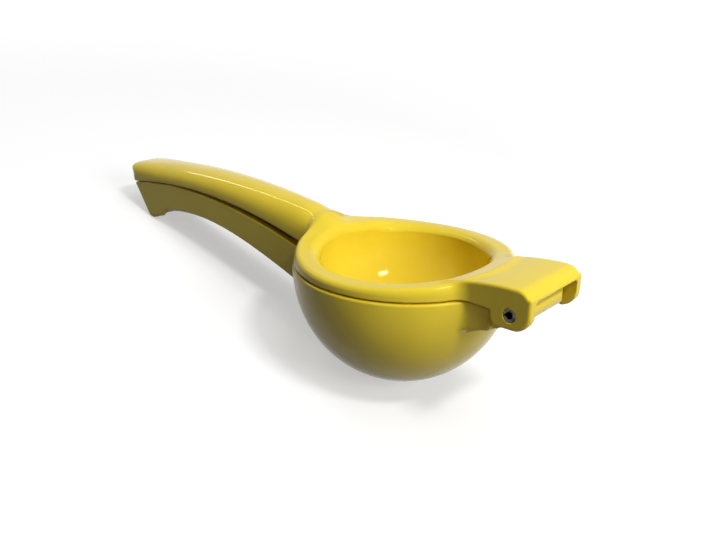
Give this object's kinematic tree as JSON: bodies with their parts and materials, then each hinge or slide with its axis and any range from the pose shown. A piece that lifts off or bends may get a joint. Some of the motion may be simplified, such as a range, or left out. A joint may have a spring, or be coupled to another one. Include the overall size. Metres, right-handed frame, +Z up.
{
  "type": "citrus press",
  "caption": "Hand-held citrus press with a perforated round cup, a dish-shaped plunger and long curved handles hinged on a steel pin.",
  "frame": {"origin": "centre of the closed press's plan box, on the surface that it lies on", "axes": "+X from the handles' ends to the hinge, along the press; +Y across it, parallel to the hinge pin; +Z up"},
  "size_m": [0.2032, 0.0764, 0.0621],
  "materials": {
    "enamel": "glossy yellow enamel over cast aluminium",
    "pin_steel": "bare spring steel"
  },
  "bodies": {
    "cup_body": {"strainer_cup": "enamel"},
    "press_body": {"press_arm": "enamel", "hinge_pin": "pin_steel"}
  },
  "joints": [
    {"name": "press_hinge", "type": "hinge", "parent": "cup_body", "child": "press_body", "pos_m": [0.09507, 0, 0.05316], "axis": [0, 1, 0], "range_deg": [0, 160]}
  ]
}
